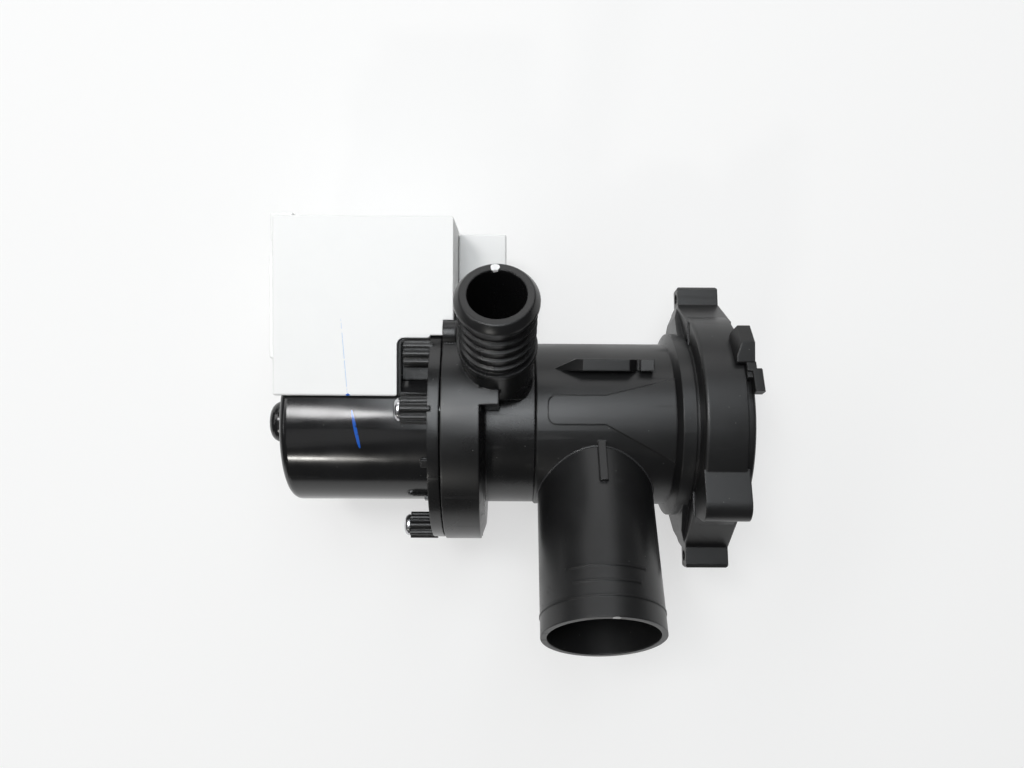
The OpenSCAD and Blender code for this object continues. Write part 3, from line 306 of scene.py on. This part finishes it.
def wear_group():
    """Rubbed corners: the marked corner faces, broken up by noise."""
    name = "rubbed_edges"
    if name in bpy.data.node_groups:
        return bpy.data.node_groups[name]
    tree, start, end = group_tree(name, (("Breakup", 300.0),), ("Wear",))
    place = node_maker(tree)
    calc = calculator(tree)
    mark = place("ShaderNodeAttribute", attribute_name=EDGE)
    place_at = place("ShaderNodeTexCoord").outputs["Object"]
    patch = place("ShaderNodeTexNoise", {"Detail": 3.0},
                  {"Vector": place_at, "Scale": start.outputs["Breakup"]})
    open_up = place("ShaderNodeMapRange", {"From Min": 0.42, "From Max": 0.62},
                    {"Value": patch.outputs["Fac"]})
    tree.links.new(calc("MULTIPLY", mark.outputs["Fac"], open_up.outputs["Result"]), end.inputs["Wear"])
    return tree


def pen_group():
    """A pen stroke along Y on the upper side, swelling along its length and broken where the pen skipped."""
    name = "pen_stroke"
    if name in bpy.data.node_groups:
        return bpy.data.node_groups[name]
    inputs = [(label, 0.0) for label in ("X", "Lean", "Y from", "Y to", "Width")] + [("Press", 0.5)]
    tree, start, end = group_tree(name, inputs, ("Ink",))
    place = node_maker(tree)
    calc = calculator(tree)
    place_at = place("ShaderNodeTexCoord").outputs["Object"]
    parts = place("ShaderNodeSeparateXYZ", links={"Vector": place_at})
    middle = calc("MULTIPLY_ADD", parts.outputs["Y"], start.outputs["Lean"], start.outputs["X"])
    away = calc("ABSOLUTE", calc("SUBTRACT", parts.outputs["X"], middle))
    along = place("ShaderNodeMapRange", links={
        "Value": parts.outputs["Y"], "From Min": start.outputs["Y from"], "From Max": start.outputs["Y to"]})
    swell = place("ShaderNodeFloatCurve", links={"Value": along.outputs["Result"]})
    curve = swell.mapping.curves[0]
    curve.points[0].location = (0.0, 0.0)
    curve.points[1].location = (1.0, 0.0)
    for reach, share in STROKE_SWELL:
        curve.points.new(reach, share)
    inside = calc("LESS_THAN", away, calc("MULTIPLY", swell.outputs["Value"], start.outputs["Width"]))
    skips = place("ShaderNodeTexNoise", {"Scale": 900.0, "Detail": 2.0}, {"Vector": place_at})
    inked = calc("LESS_THAN", skips.outputs["Fac"], start.outputs["Press"])
    above = calc("GREATER_THAN", parts.outputs["Z"], 0.0)
    tree.links.new(calc("MULTIPLY", calc("MULTIPLY", inside, inked), above), end.inputs["Ink"])
    return tree


def dab_group():
    """A small dab of colour about one point, with a ragged rim."""
    name = "paint_dab"
    if name in bpy.data.node_groups:
        return bpy.data.node_groups[name]
    tree, start, end = group_tree(name, (("X", 0.0), ("Y", 0.0), ("Z", 0.0), ("Radius", 0.001)), ("Paint",))
    place = node_maker(tree)
    calc = calculator(tree)
    place_at = place("ShaderNodeTexCoord").outputs["Object"]
    centre = place("ShaderNodeCombineXYZ", links={axis: start.outputs[axis] for axis in "XYZ"})
    reach = place("ShaderNodeVectorMath", links={0: place_at, 1: centre.outputs[0]}, operation="DISTANCE")
    ragged = place("ShaderNodeTexNoise", {"Scale": 1500.0, "Detail": 1.0}, {"Vector": place_at})
    wobble = calc("MULTIPLY_ADD", ragged.outputs["Fac"], DAB_RAGGEDNESS, reach.outputs["Value"])
    tree.links.new(calc("LESS_THAN", wobble, start.outputs["Radius"]), end.inputs["Paint"])
    return tree


def bare_material(name):
    """A material with an empty tree."""
    material = bpy.data.materials.new(name)
    material.use_nodes = True
    tree = material.node_tree
    tree.nodes.clear()
    return material, tree, node_maker(tree)


def new_material(name):
    """A material with its shader and its output."""
    material, tree, place = bare_material(name)
    shader = place("ShaderNodeBsdfPrincipled")
    place("ShaderNodeOutputMaterial", links={"Surface": shader.outputs["BSDF"]})
    return material, tree, place, shader


def scaled(colour, times):
    """The colour made lighter or darker, as four numbers for a socket."""
    return tuple(min(1.0, c * times) for c in colour) + (1.0,)


def moulded_plastic(name, colour, roughness, grain=1800.0, bump=0.12, depth=0.15, dust=0.22, wear=1.5,
                    spread=0.05, blend=0.5 * MM, marks=()):
    """Moulded plastic with grain, mottling, rubbed corners, a little dust and any marks of pen or paint."""
    if name in bpy.data.materials:
        return bpy.data.materials[name]
    material, tree, place, shader = new_material(name)
    calc = calculator(tree)
    surface = place("ShaderNodeGroup", {"Grain": grain}, node_tree=grain_group())
    specks = place("ShaderNodeGroup", node_tree=dust_group())
    lightened = place("ShaderNodeGroup", node_tree=wear_group())
    base = place("ShaderNodeMix", {"A": scaled(colour, 1 - depth), "B": scaled(colour, 1 + depth)},
                 {"Factor": surface.outputs["Mottle"]}, data_type="RGBA")
    worn = place("ShaderNodeMix", {"B": scaled(colour, wear)},
                 {"Factor": lightened.outputs["Wear"], "A": base.outputs["Result"]}, data_type="RGBA")
    finish = place("ShaderNodeMix", {"B": DUST_GREY},
                   {"Factor": calc("MULTIPLY", specks.outputs["Dust"], dust), "A": worn.outputs["Result"]},
                   data_type="RGBA")
    for group, values, paint in marks:
        mark = place("ShaderNodeGroup", values, node_tree=group())
        finish = place("ShaderNodeMix", {"B": paint + (1.0,)},
                       {"Factor": mark.outputs[0], "A": finish.outputs["Result"]}, data_type="RGBA")
    gloss = place("ShaderNodeMapRange", {"To Min": roughness - spread, "To Max": roughness + spread},
                  {"Value": surface.outputs["Mottle"]})
    dull = calc("MULTIPLY_ADD", specks.outputs["Scuff"], SCUFF_DULLING, gloss.outputs["Result"])
    soft = place("ShaderNodeBevel", {"Radius": blend}, samples=4)
    relief = place("ShaderNodeBump", {"Strength": bump, "Distance": GRAIN_DEPTH},
                   {"Height": surface.outputs["Height"], "Normal": soft.outputs["Normal"]})
    tree.links.new(finish.outputs["Result"], shader.inputs["Base Color"])
    tree.links.new(dull, shader.inputs["Roughness"])
    tree.links.new(relief.outputs["Normal"], shader.inputs["Normal"])
    return material


def worked_metal(name, colour, roughness):
    """Metal with fine tool marks and a slightly uneven polish."""
    if name in bpy.data.materials:
        return bpy.data.materials[name]
    material, tree, place, shader = new_material(name)
    shader.inputs["Metallic"].default_value = 1.0
    surface = place("ShaderNodeGroup", {"Grain": 900.0, "Mottle": 240.0}, node_tree=grain_group())
    base = place("ShaderNodeMix", {"A": scaled(colour, 0.8), "B": scaled(colour, 1.05)},
                 {"Factor": surface.outputs["Mottle"]}, data_type="RGBA")
    gloss = place("ShaderNodeMapRange", {"To Min": roughness - 0.06, "To Max": roughness + 0.08},
                  {"Value": surface.outputs["Mottle"]})
    relief = place("ShaderNodeBump", {"Strength": 0.05, "Distance": TOOL_MARK_DEPTH},
                   {"Height": surface.outputs["Height"]})
    tree.links.new(base.outputs["Result"], shader.inputs["Base Color"])
    tree.links.new(gloss.outputs["Result"], shader.inputs["Roughness"])
    tree.links.new(relief.outputs["Normal"], shader.inputs["Normal"])
    return material


def has_room(edge, need):
    """Whether the faces beside an edge are wide enough for a corner radius."""
    along = (edge.verts[1].co - edge.verts[0].co).normalized()
    for vert in edge.verts:
        for other in vert.link_edges:
            if other is edge:
                continue
            side = other.other_vert(vert).co - vert.co
            straight = abs(side.normalized().dot(along)) > STRAIGHT_ON
            if not straight and side.cross(along).length < need:
                return False
    return True


def roomy_chains(bm, radius):
    """Outer corners in unbroken runs, kept only where a whole run has room for the radius."""
    sharp = {e for e in bm.edges if e.is_manifold and e.calc_face_angle() > SHARP}
    chosen = []
    left = set(sharp)
    while left:
        run, ahead = [], [left.pop()]
        while ahead:
            edge = ahead.pop()
            run.append(edge)
            for vert in edge.verts:
                meeting = [e for e in vert.link_edges if e in sharp]
                if len(meeting) == 2:
                    for other in meeting:
                        if other in left:
                            left.remove(other)
                            ahead.append(other)
        if all(e.is_convex and has_room(e, CORNER_ROOM * radius) for e in run):
            chosen += run
    return chosen


def softened(node, material, radius, steps):
    """Copy a CAD node, weld it, round its corners and put the copy in the node's place."""
    source = frame["nodes"][node]
    bm = bmesh.new()
    bm.from_mesh(source.data)
    bmesh.ops.remove_doubles(bm, verts=bm.verts, dist=WELD)
    bmesh.ops.dissolve_degenerate(bm, edges=bm.edges, dist=WELD / 2)
    bmesh.ops.dissolve_limit(bm, angle_limit=FLAT, verts=bm.verts, edges=bm.edges, delimit={"NORMAL"})
    made = bmesh.ops.bevel(
        bm, geom=roomy_chains(bm, radius), offset=radius, offset_type="OFFSET", affect="EDGES",
        segments=steps, profile=0.5, material=-1, clamp_overlap=False, loop_slide=True)
    rounded = set(made["faces"])
    layer = bm.verts.layers.float.new(EDGE)
    for vert in bm.verts:
        vert[layer] = float(all(face in rounded for face in vert.link_faces))
    for face in bm.faces:
        face.smooth = True
    for edge in bm.edges:
        edge.smooth = edge.is_manifold and edge.calc_face_angle() < CREASE
    mesh = bpy.data.meshes.new(node + "_finished")
    bm.to_mesh(mesh)
    bm.free()
    piece = bpy.data.objects.new(node + "_finished", mesh)
    bpy.context.scene.collection.objects.link(piece)
    mesh.materials.append(material)
    weighted = piece.modifiers.new("weighted_normals", "WEIGHTED_NORMAL")
    weighted.mode = "FACE_AREA_WITH_ANGLE"
    weighted.keep_sharp = True
    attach(piece, source["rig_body"])
    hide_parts(node)


def dress(node, material):
    """Give a CAD node its finish."""
    slots = frame["nodes"][node].data.materials
    slots.clear()
    slots.append(material)


class PUMP_OT_housings(bpy.types.Operator):
    """Finish the black mouldings: filter housing, pump chamber and motor flange"""

    bl_idname = "pump.housings"
    bl_label = "Black mouldings"

    def execute(self, context):
        look = context.scene.pump_finish
        satin = moulded_plastic("satin_black_moulding", look.housing_black, look.housing_gloss,
                                blend=look.moulded_blend, marks=((dab_group, INLET_LIP_SPOT, PALE_GREY_SPOT),))
        dress("filter_housing", satin)
        sleek = moulded_plastic("sleek_black_moulding", look.housing_black,
                                look.housing_gloss - CHAMBER_SHINE, blend=look.moulded_blend,
                                marks=((dab_group, OUTLET_DAB, WHITE_PAINT),))
        softened("volute_housing", sleek, look.moulded_round, look.round_steps)
        sparkle = moulded_plastic("sparkling_black_moulding", look.housing_black,
                                  look.housing_gloss - FLANGE_SHINE, grain=1400.0, bump=0.35,
                                  blend=look.moulded_blend)
        softened("motor_flange", sparkle, look.moulded_round, look.round_steps)
        return {"FINISHED"}


class PUMP_OT_inlet_bead(bpy.types.Operator):
    """Lay the moulded bead along the seam between the inlet and the filter tube, painted lighter as a
    highlight
    """

    bl_idname = "pump.inlet_bead"
    bl_label = "Inlet bead"

    def execute(self, context):
        look = context.scene.pump_finish
        inlet = next(mount for mount in frame["record"]["mounts"] if mount["name"] == "sump_inlet")
        radius = inlet["dims"]["r_mm"] * MM
        out = Vector(inlet["axis"])
        along = Vector((1.0, 0.0, 0.0))
        side = out.cross(along)
        centre = along * inlet["pos_m"][0]
        seam = bpy.data.curves.new("inlet_bead", "CURVE")
        seam.dimensions = "3D"
        seam.bevel_depth = look.bead_radius
        seam.bevel_resolution = 2
        line = seam.splines.new("POLY")
        line.points.add(BEAD_STEPS - 1)
        line.use_cyclic_u = True
        for i, point in enumerate(line.points):
            turn = 2 * pi * i / BEAD_STEPS
            rise = sqrt(look.tube_radius ** 2 - (radius * sin(turn)) ** 2)
            place = centre + along * radius * cos(turn) + side * radius * sin(turn) + out * rise
            point.co = (*place, 1.0)
        bead = bpy.data.objects.new("inlet_bead", seam)
        context.scene.collection.objects.link(bead)
        # The bead is painted lighter than the housing: a painted highlight along the seam
        lightened = tuple(SEAM_HIGHLIGHT_LIGHTNESS * c for c in look.housing_black)
        seam.materials.append(moulded_plastic("seam_painted_highlight", lightened, look.housing_gloss - SEAM_SHINE))
        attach(bead, frame["nodes"]["filter_housing"]["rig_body"])
        return {"FINISHED"}


class PUMP_OT_casing(bpy.types.Operator):
    """Finish the glossy motor casing"""

    bl_idname = "pump.casing"
    bl_label = "Motor casing"

    def execute(self, context):
        look = context.scene.pump_finish
        gloss = moulded_plastic("gloss_black_casing", look.casing_black, look.casing_gloss, bump=0.03,
                                spread=0.04, marks=((pen_group, CASING_STROKE, DEEP_INK),))
        dress("motor_casing", gloss)
        return {"FINISHED"}


class PUMP_OT_coil_block(bpy.types.Operator):
    """Finish the white coil block: cover, base plate, socket and terminals"""

    bl_idname = "pump.coil_block"
    bl_label = "Coil block"

    def execute(self, context):
        look = context.scene.pump_finish
        marks = ((pen_group, COVER_STROKE, PALE_INK), (dab_group, INK_BLOT, BLOT_INK))
        white = moulded_plastic("white_coil_plastic", look.cover_white, roughness=0.5, bump=0.06, depth=0.015,
                                dust=0.0, wear=1.0, marks=marks)
        for node in ("coil_cover", "coil_base", "connector_housing"):
            softened(node, white, look.cover_round, look.round_steps)
        brass = worked_metal("tinned_brass", colour=(0.72, 0.66, 0.5), roughness=0.3)
        softened("terminal_blades", brass, look.metal_round, look.round_steps)
        return {"FINISHED"}


class PUMP_OT_screws(bpy.types.Operator):
    """Finish the plated flange screws"""

    bl_idname = "pump.screws"
    bl_label = "Flange screws"

    def execute(self, context):
        look = context.scene.pump_finish
        plated = worked_metal("plated_screw", colour=(0.72, 0.72, 0.74), roughness=0.22)
        softened("flange_screws", plated, look.metal_round, look.round_steps)
        return {"FINISHED"}


class PUMP_OT_filter(bpy.types.Operator):
    """Finish the filter cap, its basket, the clip beside the mouth and the seals"""

    bl_idname = "pump.filter"
    bl_label = "Filter and seals"

    def execute(self, context):
        look = context.scene.pump_finish
        deep = moulded_plastic("deep_black_plastic", look.cap_black, roughness=0.4)
        for node in ("filter_cap", "filter_basket", "cap_clip"):
            softened(node, deep, CAP_ROUND_SHARE * look.moulded_round, look.round_steps)
        rubber = moulded_plastic("seal_rubber", colour=(0.01, 0.01, 0.01), roughness=0.6, grain=2600.0,
                                 bump=0.2)
        for node in ("neck_seal", "chamber_seal", "cap_seal", "shaft_seal"):
            dress(node, rubber)
        return {"FINISHED"}


class PUMP_OT_motor_inside(bpy.types.Operator):
    """Finish the parts inside the motor and the impeller"""

    bl_idname = "pump.motor_inside"
    bl_label = "Inside the motor"

    def execute(self, context):
        for make, rows in ((worked_metal, INSIDE_METALS), (moulded_plastic, INSIDE_PLASTICS)):
            for row in rows:
                material = make(row.material, row.colour, row.roughness)
                for node in row.nodes:
                    dress(node, material)
        return {"FINISHED"}


class PUMP_OT_stage(bpy.types.Operator):
    """Set up the floor, the light and the camera"""

    bl_idname = "pump.stage"
    bl_label = "Stage"

    def execute(self, context):
        scene = context.scene
        stage = scene.pump_stage
        self.floor(scene, stage)
        self.surroundings(scene, stage)
        for lamp in LAMPS:
            self.panel(scene, lamp)
        self.camera(scene, stage)
        scene.view_settings.view_transform = "Standard"
        return {"FINISHED"}

    def floor(self, scene, stage):
        """A white floor that the camera and reflections see brighter than the lamps make it."""
        bm = bmesh.new()
        bmesh.ops.create_grid(bm, x_segments=1, y_segments=1, size=stage.floor_reach)
        bmesh.ops.translate(bm, verts=bm.verts, vec=(0.0, 0.0, stage.floor_height))
        mesh = bpy.data.meshes.new("floor")
        bm.to_mesh(mesh)
        bm.free()
        floor = bpy.data.objects.new("floor", mesh)
        scene.collection.objects.link(floor)
        material, tree, place = bare_material("white_floor")
        calc = calculator(tree)
        matt = place("ShaderNodeBsdfDiffuse", {"Color": tuple(stage.floor_white) + (1.0,)})
        glow = place("ShaderNodeEmission", {"Color": (1.0, 1.0, 1.0, 1.0)})
        path = place("ShaderNodeLightPath")
        either = calc("MAXIMUM", path.outputs["Is Camera Ray"], path.outputs["Is Glossy Ray"])
        seen = calc("MULTIPLY", either, stage.floor_glow)
        mixed = place("ShaderNodeMixShader", links={0: seen, 1: matt.outputs[0], 2: glow.outputs[0]})
        place("ShaderNodeOutputMaterial", links={"Surface": mixed.outputs[0]})
        mesh.materials.append(material)

    def surroundings(self, scene, stage):
        """Faint light from all round, which the camera sees as a bright backdrop."""
        world = bpy.data.worlds.new("surroundings")
        world.use_nodes = True
        tree = world.node_tree
        back = tree.nodes["Background"]
        back.inputs["Color"].default_value = (1.0, 1.0, 1.0, 1.0)
        place = node_maker(tree)
        path = place("ShaderNodeLightPath")
        level = place("ShaderNodeMapRange", {"To Min": stage.world_level, "To Max": stage.backdrop_level},
                      {"Value": path.outputs["Is Camera Ray"]})
        tree.links.new(level.outputs["Result"], back.inputs["Strength"])
        scene.world = world

    def panel(self, scene, lamp):
        """A rectangular lamp of one radiance, turned towards the pump."""
        light = bpy.data.lights.new(lamp.name, "AREA")
        light.shape = "RECTANGLE"
        light.size, light.size_y = lamp.size
        light.energy = lamp.level * pi * lamp.size[0] * lamp.size[1]
        light.color = lamp.tint
        piece = bpy.data.objects.new(lamp.name, light)
        piece.location = lamp.at
        piece.visible_camera = False
        aim = LAMP_AIM - Vector(lamp.at)
        piece.rotation_euler = aim.to_track_quat("-Z", "Y").to_euler()
        scene.collection.objects.link(piece)

    def camera(self, scene, stage):
        """The camera, looking down on the pump."""
        lens = bpy.data.cameras.new("camera")
        lens.lens = stage.lens
        lens.sensor_width = 36.0
        lens.clip_start = 0.01
        camera = bpy.data.objects.new("camera", lens)
        camera.location = stage.camera_at
        camera.rotation_euler = stage.camera_turn
        scene.collection.objects.link(camera)
        scene.camera = camera


STEPS = (PUMP_OT_housings, PUMP_OT_inlet_bead, PUMP_OT_casing, PUMP_OT_coil_block, PUMP_OT_screws,
         PUMP_OT_filter, PUMP_OT_motor_inside, PUMP_OT_stage)


class VIEW3D_PT_pump(bpy.types.Panel):
    """Sidebar panel of the drain pump"""

    bl_label = "Drain pump"
    bl_space_type = "VIEW_3D"
    bl_region_type = "UI"
    bl_category = "Drain pump"

    def draw(self, context):
        for step in STEPS:
            self.layout.operator(step.bl_idname)


CLASSES = (PumpFinish, PumpStage) + STEPS + (VIEW3D_PT_pump,)


def register():
    for entry in CLASSES:
        bpy.utils.register_class(entry)
    bpy.types.Scene.pump_finish = PointerProperty(type=PumpFinish)
    bpy.types.Scene.pump_stage = PointerProperty(type=PumpStage)


def unregister():
    del bpy.types.Scene.pump_stage
    del bpy.types.Scene.pump_finish
    for entry in reversed(CLASSES):
        bpy.utils.unregister_class(entry)


def main():
    register()
    bpy.ops.pump.housings()
    bpy.ops.pump.inlet_bead()
    bpy.ops.pump.casing()
    bpy.ops.pump.coil_block()
    bpy.ops.pump.screws()
    bpy.ops.pump.filter()
    bpy.ops.pump.motor_inside()
    bpy.ops.pump.stage()


if __name__ == "__main__":
    main()
